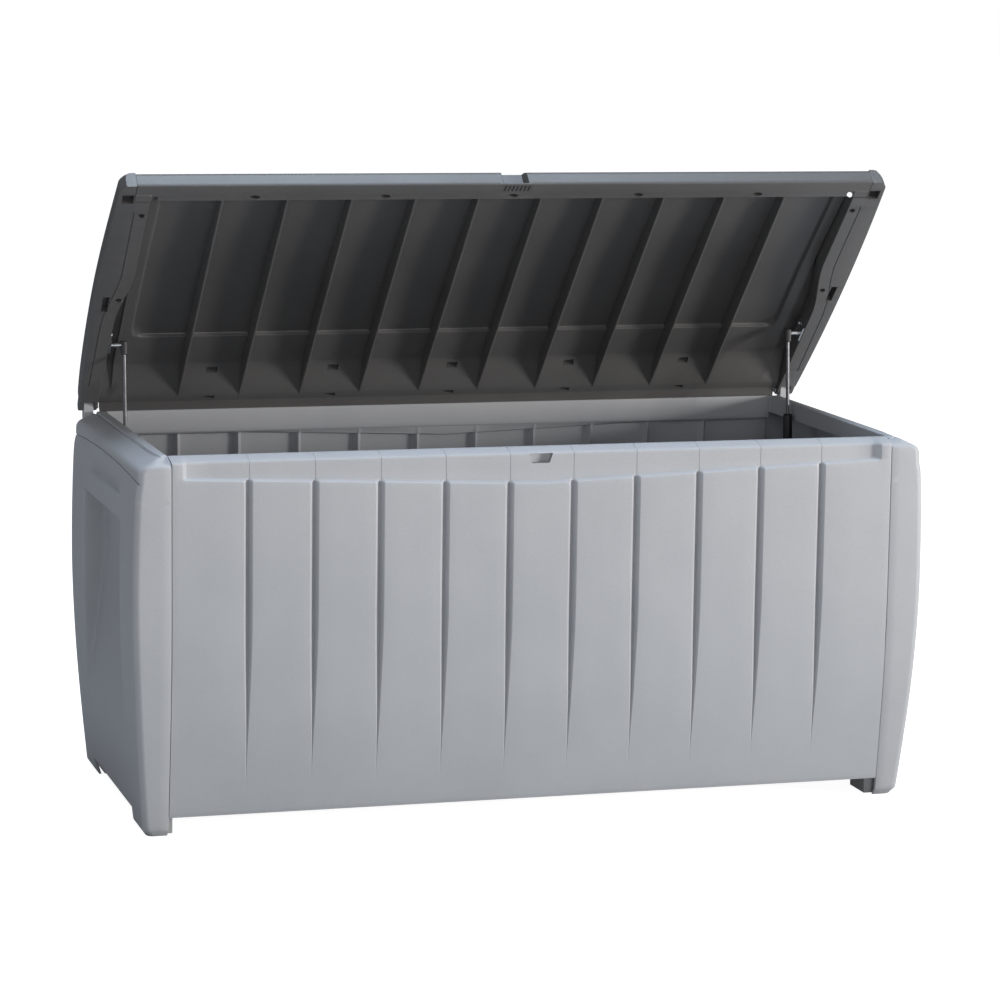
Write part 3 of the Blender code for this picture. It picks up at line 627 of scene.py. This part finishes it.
# Across the arched line: (height from its middle, depth)
ARCH_ROWS = (
    (-0.0280, 0.0), (-0.0150, 0.0), (-0.0060, 0.0001), (-0.0012, 0.0004), (-0.0004, 0.0022),
    (0.0004, 0.0022), (0.0012, 0.0004), (0.0030, 0.0001),
)
BEAD = 0.0170  # from the rim's inner edge to the bead on its top
PLAIN_Y = 0.25  # a place beside an end's recess and ledge
RIM_INSIDE = 0.0280  # how far the rim turns down inside


def end_section(end, angle, y, share, low, seam, side):
    """Section of an end panel at one station: up the outside, over the rim and down the inside."""
    turn = radians(angle)
    normal = Vector((sin(turn), end * cos(turn))) if end else Vector((1, 0))
    facing = normal.x**2
    station = PLAIN_Y if y is None else abs(y)

    def at(z, cut=0.0, inside=0.0):
        tuck = FOOT_TUCK * ramp(z, FOOT_TUCK_TOP, 0.0) + cut
        x = side_offset(max(station - inside, 0), z) - tuck
        return end_point(end, angle, y, share, x, corner_profile(z) - tuck, seam, inside)

    parts = (0.035, 0.09, 0.16, 0.24, 0.33, 0.5)
    foot_rows = tuple(blend(low, END_ROWS[0], part) for part in parts)
    outer = [(at(low, 0.0010), low)] + [(at(z), z) for z in foot_rows + END_ROWS]
    inner = [(at(z, 0.0, WALL), z + (WALL if 0.455 < z < 0.47 else 0)) for _, z in outer]
    along = abs(at(0.5).y)
    arch = arch_height(along) - 0.004 * (1 - facing)
    pressed = ramp(facing, 0.35, 0.85)
    for dz, cut in ARCH_ROWS:
        z = arch + dz
        x = blend(side_offset(station, 0.505), SIDE_SHOULDER[0][1], ramp(z, 0.505, 0.540))
        spot = end_point(end, angle, y, share, x - cut * pressed, PLANK_FACE - cut * pressed, seam)
        outer.append((spot, z))
        inner.append((end_point(end, angle, y, share, x, PLANK_FACE, seam, WALL), z))
    for (side_z, x), (post_z, depth) in zip(SIDE_SHOULDER, POST_SHOULDER):
        z = blend(post_z, side_z, facing)
        outer.append((end_point(end, angle, y, share, x, depth, seam), z))
        inner.append((end_point(end, angle, y, share, x, depth, seam, WALL), z))
    points = [Vector((*spot, z)) for spot, z in outer]
    rim_y = RIM_INNER_BACK if end > 0 or (end == 0 and y > 0) else RIM_INNER_FRONT
    rim_y -= RIM_CORNER
    rim_x = RIM_INNER_X - RIM_CORNER
    if end == 0:
        rim = Vector((rim_x, y))
    elif angle == 90:
        rim = Vector((rim_x, end * blend(FOOT_INNER_Y, rim_y, share)))
    else:
        near_seam = SEAM_X + GAP + (rim_x - SEAM_X - GAP) * min(seam / 0.0160, 1)
        rim = Vector((near_seam, end * rim_y))
    edge = rim + normal * RIM_CORNER
    shoulder = Vector((points[-1].x, points[-1].y))
    outward = (shoulder - edge).normalized()
    width = min(BEAD, (shoulder - edge).length - 0.002)
    top = points[-1].z
    fade = 0.0013 * facing * ramp(at(0.5).y, -0.262, -0.235)
    flat_top = RIM_Z - 0.0010 * (1 - facing)
    bead = ((0.0012, 0.6, 0.0), (0.0004, 1, 0.0), (-0.0004, 1, 0.0), (-0.0012, 0.3, 0.5))
    for off, depth, raised in (*bead, (-0.0024, 0, 1)):
        reach = width + off
        sloped = blend(flat_top, top, reach / (shoulder - edge).length)
        height = blend(sloped, flat_top, raised * facing) - fade * depth
        points.append(Vector((*(edge + outward * reach), height)))
    lip = ((0.0030, 0), (0.0010, 0.0003), (0.0002, 0.0011), (0.0, 0.0025), (0.0, 0.0270))
    for reach, drop in lip:
        points.append(Vector((*(edge + outward * reach), flat_top - drop)))
    behind = edge + normal * WALL
    points += [Vector((*(edge + normal * 0.0010), RIM_Z - RIM_INSIDE))]
    points += [Vector((*behind, RIM_Z - RIM_INSIDE)), Vector((*behind, RIM_Z - 0.0150))]
    for i, (spot, z) in enumerate(inner[::-1]):
        points.append(Vector((*spot, min(z, RIM_Z - 0.0150 - 0.0003 * i))))
    return [Vector((side * p.x, p.y, p.z)) for p in points]


def knuckle_mesh(side):
    """Post for the hinge pin, round on top, with softened edges."""
    rings = []
    low, high = KNUCKLE_X
    for x, less in ((low, 0.0008), (low + 0.0008, 0), (high - 0.0008, 0), (high, 0.0008)):
        radius = KNUCKLE_RADIUS - less
        ring = [Vector((side * x, HINGE_Y + radius, RIM_Z - KNUCKLE_ROOT))]
        for i in range(ROUND_STEPS + 1):
            angle = pi * i / ROUND_STEPS
            y, z = HINGE_Y + radius * cos(angle), HINGE_Z + radius * sin(angle)
            ring.append(Vector((side * x, y, z)))
        ring.append(Vector((side * x, HINGE_Y - radius, RIM_Z - KNUCKLE_ROOT)))
        rings.append(ring)
    return loft_mesh(rings)


def end_panel(name, side):
    bm = loft_mesh([end_section(*station, side) for station in end_stations()])
    bm = boolean(bm, knuckle_mesh(side), "UNION")
    start = (side * (EARS_X[0][0] + 0.0005), HINGE_Y, HINGE_Z)
    length = EARS_X[1][1] + 0.002 - EARS_X[0][0]
    bm = boolean(bm, turned_mesh([(0, PIN_HOLE), (length, PIN_HOLE)], start, (side, 0, 0)))
    node = f"{name}_end_panel"
    add_piece(f"{name}_end", bm, IN_BOX, "box", MATERIALS["end"], [node])


for side_name, sign in SIDES.items():
    end_panel(side_name, sign)


# ---------------------------------------------------------------- lid panel

RECESS_HALF = 0.5350  # the shallow pan under the lid
RECESS_REAR = -0.1465  # drawn closer
RECESS_STEP = 0.0060
PAN_CORNER = 0.020
# How a column of the lid panel ends at the rear: under a rail, in a square edge or in the lip.
PLAIN, SQUARE, LIPPED = range(3)


def lid_top(y):
    return LID_TOP - 0.009 * ramp(-y, 0.25, LID_FRONT) - 0.004 * ramp(-y, 0.08, 0.0)


def skin_under(y):
    rows = SKIN_END + tuple((row, lid_top(row) - WALL) for row in SKIN_ROWS)
    return follow([(-a, b) for a, b in rows], -y)


def pan_share(x, y):
    """1 inside the pan under the lid, 0 on the border round it."""
    dx = abs(x) - (RECESS_HALF - PAN_CORNER)
    dy = y - (RECESS_REAR - PAN_CORNER)
    outside = Vector((max(dx, 0), max(dy, 0))).length + min(max(dx, dy), 0) - PAN_CORNER
    return ramp(outside, 0.0016, -0.0016)


def lid_columns():
    """(x, rib share, kind of rear end) across the lid panel."""
    edge = LID_HALF_WIDTH - GAP
    full = RAIL_INNER[1] - 0.0016
    thin = RAIL_INNER[1] - 0.0006
    lipped = full - REAR_LIP_INSET
    half = [(-edge, 0, PLAIN), (-edge + 0.0008, 0, PLAIN), (-thin, 0, PLAIN), (-full, 0, SQUARE)]
    half += [(-lipped - 0.0010, 0, SQUARE), (-lipped, 0, LIPPED)]
    for x in (0.5640, 0.5560, 0.5545, 0.5400, 0.5370, 0.5360, 0.5350, 0.5340, 0.5330, 0.5300):
        half.append((-x, 0, LIPPED))
    half += [(-x, 0, LIPPED) for x in (0.5230, 0.5150, 0.500, 0.475)]
    columns = list(half)
    for i, x in enumerate(GROOVES):
        for offset, rib in ((-0.0030, 0), (-0.0019, 0), (-0.0016, 0.985), (-0.0009, 1)):
            columns.append((x + offset, rib, LIPPED))
        for offset, rib in ((0.0009, 1), (0.0016, 0.985), (0.0019, 0), (0.0030, 0)):
            columns.append((x + offset, rib, LIPPED))
        if i < len(GROOVES) - 1:
            columns += [(x + step, 0, LIPPED) for step in (0.02, PLANK_PITCH / 2, 0.079)]
    return columns + [(-x, rib, rear) for x, rib, rear in half[::-1]]


def top_groove(x, y):
    """Shallow grooves between the planks of the lid's top."""
    near = min(abs(x - g) for g in GROOVES)
    return 0.0014 * ramp(near, 0.0030, 0.0006) * ramp(-y, 0.030, 0.045) * ramp(-y, 0.530, 0.515)


def lid_section(x, rib, rear):
    """Closed section ring of the lid panel at one column."""
    front = -LID_FRONT
    outer = [(front + 0.0006, LID_BOTTOM + 0.0004), (front, LID_BOTTOM + 0.0014)]
    outer += [(front, z) for z in (-0.002, 0.004, 0.0110)]
    outer += [(front + 0.0005, 0.0145), (front + 0.0018, 0.0170), (front + 0.0040, 0.0187)]
    rows = (-0.530, -0.525, -0.515, -0.50, -0.46, -0.42, -0.38, -0.34, -0.30, -0.27, -0.23)
    rows += (-0.19, -0.16, -0.12, -0.08, -0.05, -0.040, -0.030)
    for y in rows:
        rise = 0.0204 if y == -0.530 else lid_top(y)
        outer.append((y, rise - top_groove(x, y)))
    if rear != PLAIN:
        outer += [(-0.0200, 0.0240), (-0.0150, 0.0215)]
        if rear == LIPPED:
            crest, slope, nose, chin, tip = REAR_LIP
            outer += [crest, slope, nose, (nose[0] + 0.0003, -0.002)]
            outer += [chin, (0.0078, -0.0076), tip, (0.0052, -0.0070)]
        else:
            outer += [(-0.0112, 0.0170), (-0.0098, 0.0150), (-0.0090, 0.0135), (-0.0085, 0.0120)]
            outer += [(-0.0082, 0.0090), (-0.0081, 0.0060), (-0.0080, 0.0040), (-0.0080, 0.0020)]
        strip = RIB_EDGE
        under = [(-0.0080, strip + 0.0012), (-0.0090, strip), (-RIB_FADE[1] + 0.002, strip)]
        under += [(-RIB_FADE[1] - 0.002, strip + 0.0008)]
        for part in (0.25, 0.5, 0.75):
            y = blend(-RIB_FADE[1], -RIB_FADE[0], part)
            under.append((y, blend(strip, lid_top(y) - WALL - RECESS_STEP * border(x), part)))
        for y in (-0.0780, -0.0820, -0.12, -0.1440, -0.1452, -0.1460, -0.1466, -0.1472, -0.1484):
            under.append((y, pan_under(x, y)))
        for y in (-0.153, -0.160, -0.167, -0.20, -0.25, -0.30, -0.34, -0.38, -0.42, -0.46, -0.4975):
            under.append((y, pan_under(x, y)))
        under.append((-RIB_FRONT - 0.0002, pan_under(x, -0.4975)))
        if rib:
            last = len(under) - 1
            for i in range(3, last):
                y, z = under[i]
                under[i] = (y, blend(z, RIB_EDGE, rib) - (0.0002 if i > 3 else 0) * rib)
            under[last] = (-RIB_FRONT - 0.0001, RIB_EDGE)
    else:
        outer += [(-0.0240, 0.0240), (-0.0200, 0.0238)]
        # As many points as the other two kinds have, so that the rings join up
        outer += [(-0.0180 + 0.00015 * i, 0.0235 - 0.00025 * i) for i in range(8)]
        steps = 26
        rows = [blend(-0.0170, -0.4965, i / steps) for i in range(steps + 1)]
        under = [(y, skin_under(y)) for y in rows]
        under.append((-RIB_FRONT - 0.0002, skin_under(-0.4975)))
    lip_back = front + 0.0200
    low = blend(FLANGE_Z, LID_BOTTOM + 0.0003, ramp(abs(x), 0.5546, 0.5560))
    flange = [(-RIB_FRONT - 0.0008, low + 0.0008), (-RIB_FRONT - 0.0014, low)]
    flange += [(lip_back + 0.0016, low), (lip_back + 0.0008, low + 0.0008)]
    flange += [(lip_back, low + 0.0008), (lip_back, LID_BOTTOM + 0.0006)]
    flange.append((lip_back - 0.0005, LID_BOTTOM))
    flange += [(front + 0.0020, LID_BOTTOM)]
    return [Vector((x, y, z)) for y, z in outer + under + flange]


def border(x):
    """1 between the rails and 0 under them."""
    return ramp(abs(x), 0.5555, 0.5545)


def pan_under(x, y):
    """Height of the lid's underside, in its pan or on the border round it."""
    return lid_top(y) - WALL - RECESS_STEP * border(x) * (1 - pan_share(x, y))


def slanted_hole(side):
    """Cutter of the drain hole that runs up and back from a front corner of the lid's underside."""
    start = (side * 0.5425, -0.5200, -0.0180)
    profile = [(0, 0.0042), (0.0900, 0.0042)]
    return turned_mesh(profile, start, (side * 0.377, 0.700, 0.605), 20)


def lid_cuts():
    """Lock pocket, plain slits, hook holes, drain holes and rear slots of the lid panel."""
    front = -LID_FRONT
    pocket = ((-0.0215, front - 0.002), (0.0215, front - 0.002), (0.0155, front + 0.0115))
    pocket += ((-0.0155, front + 0.0115),)
    cuts = [prism_mesh(pocket, LID_BOTTOM + 0.0026, 0.040)]
    for i in range(7):
        x = -0.0165 + 0.0062 * i
        slit = ((x, front + 0.0030), (x + 0.0026, front + 0.0030), (x + 0.0008, front + 0.0150))
        slit += ((x - 0.0018, front + 0.0150),)
        cuts.append(prism_mesh(slit, LID_BOTTOM - 0.001, LID_BOTTOM + 0.0016))
    for x in (-0.400, -0.200, 0.0, 0.200, 0.395):
        hole = []
        for i in range(16):
            angle = 2 * pi * i / 16
            hole.append((x + 0.0085 * cos(angle), -0.5095 + 0.0042 * sin(angle)))
        cuts.append(prism_mesh(hole, FLANGE_Z - 0.003, 0.0060))
    for side in SIDES.values():
        cuts.append(slanted_hole(side))
    for x in GROOVES[::2]:
        for front, rear, top in ((-0.0205, -0.0125, 0.004), (-0.0710, -0.0610, 0.0215)):
            low = (x + 0.0405, front, RIB_EDGE - 0.002)
            cuts.append(box_mesh(low, (x + 0.0585, rear, top)))
    return join_meshes(cuts)


bm = loft_mesh([lid_section(*column) for column in lid_columns()])
bm = boolean(bm, lid_cuts())
add_piece("lid_planks", bm, IN_LID, "lid", MATERIALS["lid"], ["lid_panel"])


# ---------------------------------------------------------------- lid rails


def rail_inner(y):
    """Distance of a rail's inner edge from the middle: it widens towards the hinge."""
    return RAIL_INNER[0] + (RAIL_INNER[1] - RAIL_INNER[0]) * ramp(-y, *RAIL_TURN)


def rail_outer(y):
    along = -y / LID_FRONT
    x = RAIL_OUTER[0] + (RAIL_OUTER[1] - RAIL_OUTER[0]) * (1 - (2 * along - 1) ** 2)
    into = max(RAIL_CORNER[1] - (LID_FRONT + y), 0)
    x -= RAIL_CORNER[0] * (into / RAIL_CORNER[1]) ** 1.2
    return x


def rail_section(y, inner, side):
    outer = rail_outer(y)
    edge = LID_HALF_WIDTH + GAP
    top = lid_top(y)
    if y > -0.02:
        top = 0.0215 - (y + 0.015) * 1.3
    top -= 0.0025 * ramp(-y, 0.526, LID_FRONT) ** 2
    under = skin_under(y) - GAP
    span = outer - edge
    profile = [(edge, top - 0.0006), (edge + 0.0008, top)]
    for part, drop in ((0.45, 0.0002), (0.62, 0.0007), (0.75, 0.0017), (0.86, 0.0038)):
        profile.append((edge + span * part, top - drop))
    for part, drop in ((0.94, 0.0068), (0.985, 0.0105), (1.0, 0.0150)):
        profile.append((edge + span * part, top - drop))
    profile += [(outer, LID_BOTTOM + 0.0040), (outer, LID_BOTTOM + 0.0015)]
    profile += [(outer - 0.0006, LID_BOTTOM + 0.0004), (outer - 0.0016, LID_BOTTOM)]
    profile += [(inner + 0.0008, LID_BOTTOM), (inner, LID_BOTTOM + 0.0010)]
    profile += [(inner, under), (edge, under)]
    return [Vector((side * x, y, z)) for x, z in profile]


def rail_rows():
    edge = LID_HALF_WIDTH + GAP / 2
    flange_end = -RIB_FRONT + 0.0010
    rows = []
    for i in range(10):
        rows.append((-LID_FRONT + 0.0003 + RAIL_CORNER[1] * i / 9, edge))
    rows += [(-0.5110, edge), (-0.5060, edge), (flange_end - 0.0010, edge)]
    y = flange_end
    while y < -0.0200:
        rows.append((y, rail_inner(y)))
        y += 0.0099
    return rows + [(-0.0172, rail_inner(-0.0172))]


def ear_mesh(low, high):
    rings = []
    for part, less in ((0, 0.0006), (0.12, 0), (0.88, 0), (1, 0.0006)):
        x = blend(low, high, part)
        radius = EAR_RADIUS - less
        ring = [Vector((x, EAR_REAR_Y, 0.0130)), Vector((x, EAR_REAR_Y, -radius + 0.0005))]
        for i in range(ROUND_STEPS + 1):
            angle = radians(-90 + 150 * i / ROUND_STEPS)
            ring.append(Vector((x, radius * cos(angle), radius * sin(angle))))
        rings.append(ring)
    return loft_mesh(rings)


def rail_cuts(side):
    """Moulding pockets along the outside strip of a rail's underside, and its screw wells."""
    cuts = []
    for rear, front, start in ((-0.4985, -0.5175, 0.5808), (-0.2450, -0.2806, 0.5885)):
        low, high = sorted((side * start, side * 0.5985))
        cuts.append(box_mesh((low, front, LID_BOTTOM - 0.002), (high, rear, 0.006)))
    cuts.append(slanted_hole(side))
    for y in RAIL_SCREWS_Y:
        start = (side * (rail_inner(y) + 0.0085), y, LID_BOTTOM - 0.001)
        profile = [(0, 0.0052), (0.0016, 0.0048), (0.0200, 0.0048)]
        profile += [(0.0202, SCREW_HOLE), (0.040, SCREW_HOLE)]
        cuts.append(turned_mesh(profile, start, (0, 0, 1), 24))
    ridge = []
    for i in range(15):
        y = -0.480 + 0.030 * i
        ridge.append((side * (rail_inner(y) + 0.0195), y))
    ridge += [(x + side * 0.0016, y) for x, y in ridge[::-1]]
    cuts.append(prism_mesh(ridge, LID_BOTTOM - 0.001, LID_BOTTOM + 0.0010))
    return join_meshes(cuts)


def lid_rail(name, side):
    bm = loft_mesh([rail_section(y, x, side) for y, x in rail_rows()])
    ears = join_meshes([ear_mesh(side * low, side * high) for low, high in EARS_X])
    bm = boolean(bm, ears, "UNION")
    start = (side * (EARS_X[0][0] - 0.002), 0, 0)
    length = PIN_END_X + 0.0005 - (EARS_X[0][0] - 0.002)
    bm = boolean(bm, turned_mesh([(0, PIN_HOLE), (length, PIN_HOLE)], start, (side, 0, 0)))
    bm = boolean(bm, rail_cuts(side))
    node = f"lid_{name}_rail"
    add_piece(f"{name}_rail", bm, IN_LID, "lid", MATERIALS["lid"], [node])


for side_name, sign in SIDES.items():
    lid_rail(side_name, sign)


# ---------------------------------------------------------------- struts and metal parts


def anchor_point(side):
    """Ball of a strut on the open lid."""
    y = HINGE_Y - ANCHOR_U * cos(OPEN_ANGLE) + ANCHOR_V * sin(OPEN_ANGLE)
    z = HINGE_Z + ANCHOR_U * sin(OPEN_ANGLE) + ANCHOR_V * cos(OPEN_ANGLE)
    return Vector((side * STRUT_FOOT.x, y, z))


def gas_strut(name, side):
    """Cylinder and rod of one strut, along the line from its foot to its ball."""
    top = anchor_point(side)
    foot = Vector((side * STRUT_FOOT.x, STRUT_FOOT.y, STRUT_FOOT.z))
    up = (top - foot).normalized()
    outer = [(0, 0.0056), (0.0006, 0.0062), (0.0022, 0.0073), (0.0030, CYLINDER_RADIUS)]
    outer += [(CYLINDER_LENGTH - 0.0050, CYLINDER_RADIUS), (CYLINDER_LENGTH - 0.0030, 0.0073)]
    outer += [(CYLINDER_LENGTH - 0.0012, 0.0066), (CYLINDER_LENGTH, 0.0050)]
    bore = [(CYLINDER_LENGTH, ROD_RADIUS + GAP), (0.006, ROD_RADIUS + GAP)]
    length = (top - foot).length - SOCKET_LENGTH - GAP - ROD_END
    rod = [(0, ROD_RADIUS - 0.0005), (0.0006, ROD_RADIUS), (length, ROD_RADIUS)]
    for part, profile, start, slot, look in (
        ("cylinder", outer + bore, CYLINDER_START, "cylinder_paint", "paint"),
        ("rod", rod, ROD_END, "rod_chrome", "rod"),
    ):
        bm = turned_mesh(profile, foot + up * start, up)
        node = f"{name}_strut_{part}"
        add_piece(f"{name}_{part}", bm, IN_BOX, f"{node}_end", MATERIALS[look], [node])


for side_name, sign in SIDES.items():
    gas_strut(side_name, sign)

# Finishes of the CAD nodes that stay visible: the first name found in a node's own counts.
NODE_FINISHES = (
    ("floor_panel", "inside"),
    ("hinge_pin", "steel"),
    ("bracket_screw", "screw"),
    ("rail_screw", "screw"),
    ("bracket", "steel"),
    ("strut", "nylon"),
)
for node_name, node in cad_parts.items():
    for part, finish in NODE_FINISHES:
        if part in node_name:
            node.data.materials.clear()
            node.data.materials.append(MATERIALS[finish])
            break


# ---------------------------------------------------------------- studio


def area_light(name, location, target, size, power, color):
    light = bpy.data.lights.new(name, "AREA")
    light.shape = "RECTANGLE"
    light.size, light.size_y = size
    light.energy = power
    light.color = color
    obj = bpy.data.objects.new(name, light)
    bpy.context.scene.collection.objects.link(obj)
    obj.location = location
    aim = Vector(target) - Vector(location)
    obj.rotation_euler = aim.to_track_quat("-Z", "Y").to_euler()


def stage_floor():
    """A plain floor, lit like mid grey but white to the camera."""
    bm = box_mesh((-40, -40, -0.02), (40, 40, 0))
    mesh = bpy.data.meshes.new("studio_floor")
    bm.to_mesh(mesh)
    bm.free()
    mat, tree, shader = node_material("studio_white")
    shader.inputs["Base Color"].default_value = (0.50, 0.50, 0.50, 1)
    shader.inputs["Roughness"].default_value = 0.9
    shader.inputs["Specular IOR Level"].default_value = 0.0
    shader.inputs["Emission Color"].default_value = (0.94, 0.94, 0.94, 1)
    path = tree.nodes.new("ShaderNodeLightPath")
    tree.links.new(path.outputs["Is Camera Ray"], shader.inputs["Emission Strength"])
    mesh.materials.append(mat)
    obj = bpy.data.objects.new("studio_floor", mesh)
    bpy.context.scene.collection.objects.link(obj)


def world_light(color, strength):
    """A plain white backdrop, dimmer and a little blue as a light source."""
    world = bpy.data.worlds.new("studio")
    world.use_nodes = True
    tree = world.node_tree
    lit = tree.nodes["Background"]
    lit.inputs["Color"].default_value = (*color, 1)
    lit.inputs["Strength"].default_value = strength
    seen = tree.nodes.new("ShaderNodeBackground")
    seen.inputs["Color"].default_value = (1, 1, 1, 1)
    path = tree.nodes.new("ShaderNodeLightPath")
    either = tree.nodes.new("ShaderNodeMixShader")
    tree.links.new(path.outputs["Is Camera Ray"], either.inputs[0])
    tree.links.new(lit.outputs[0], either.inputs[1])
    tree.links.new(seen.outputs[0], either.inputs[2])
    tree.links.new(either.outputs[0], tree.nodes["World Output"].inputs["Surface"])
    bpy.context.scene.world = world


def studio_camera():
    yaw, pitch, roll = radians(16.5039), radians(8.8787), radians(0.7855)
    forward = Vector((sin(yaw) * cos(pitch), cos(yaw) * cos(pitch), -sin(pitch)))
    right = Vector((cos(yaw), -sin(yaw), 0))
    up = right.cross(forward)
    tilted_right = cos(roll) * right + sin(roll) * up
    tilted_up = cos(roll) * up - sin(roll) * right
    data = bpy.data.cameras.new("camera")
    data.sensor_width = 36
    data.lens = 124.54
    camera = bpy.data.objects.new("camera", data)
    bpy.context.scene.collection.objects.link(camera)
    turn = Matrix((tilted_right, tilted_up, -forward)).transposed().to_4x4()
    camera.matrix_world = Matrix.Translation((-1.5052, -5.1347, 1.2825)) @ turn
    bpy.context.scene.camera = camera


stage_floor()
world_light((0.92, 0.95, 1.0), 0.20)
area_light("key", (5.0, -3.1, 0.95), (0, 0, 0.55), (1.3, 1.3), 318, (1.0, 0.975, 0.94))
area_light("overhead", (0.2, -0.3, 4.6), (0, 0, 0.6), (2.6, 2.6), 165, (0.72, 0.85, 1.0))
area_light("fill", (-0.3, -6.0, 1.0), (0, 0, 0.4), (2.4, 2.0), 60, (1.0, 0.98, 0.96))
area_light("side", (-4.6, -1.8, 1.0), (0, 0, 0.35), (2.4, 1.6), 24, (0.92, 0.97, 1.0))
studio_camera()
bpy.context.scene.view_settings.view_transform = "Standard"

bpy.context.view_layer.update()
